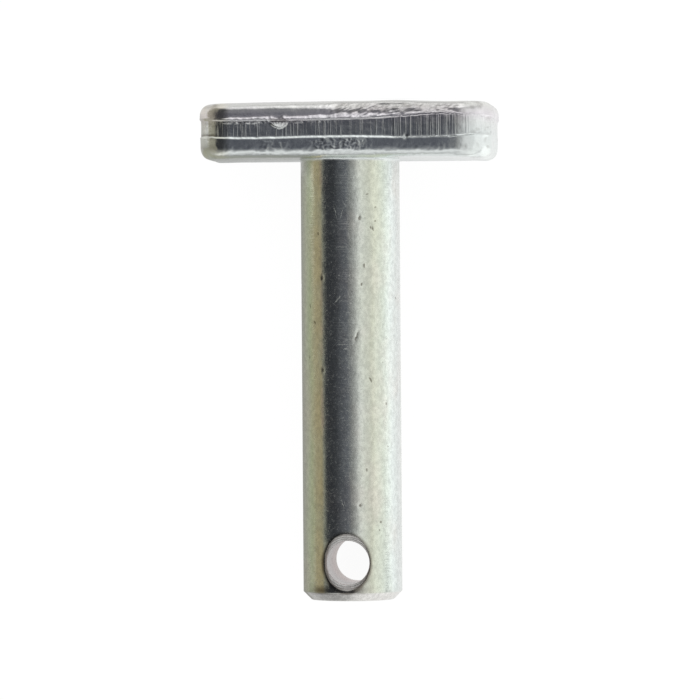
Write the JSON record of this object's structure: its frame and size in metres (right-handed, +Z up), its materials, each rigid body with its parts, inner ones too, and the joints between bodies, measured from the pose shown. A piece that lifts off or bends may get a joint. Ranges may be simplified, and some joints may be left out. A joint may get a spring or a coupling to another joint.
{
  "type": "top link pin",
  "caption": "T-headed steel pin with a round shank and a countersunk cross hole near its tip, for coupling an upper link to its bracket.",
  "frame": {"origin": "centre of the floor rectangle that the lying pin covers, on the floor", "axes": "+Z up, square to the floor; +Y along the pin, towards the head; +X along the head. The pin lies on its back, on the head's long side and the tip's lower edge, so its shank drops towards the tip by 1.8 degrees."},
  "size_m": [0.0742, 0.126, 0.0322],
  "materials": {
    "zinc_plated_steel": "bright clear zinc plate with faint iridescent tints over forged and turned steel"
  },
  "bodies": {
    "root": {"top_link_pin": "zinc_plated_steel"}
  },
  "joints": []
}
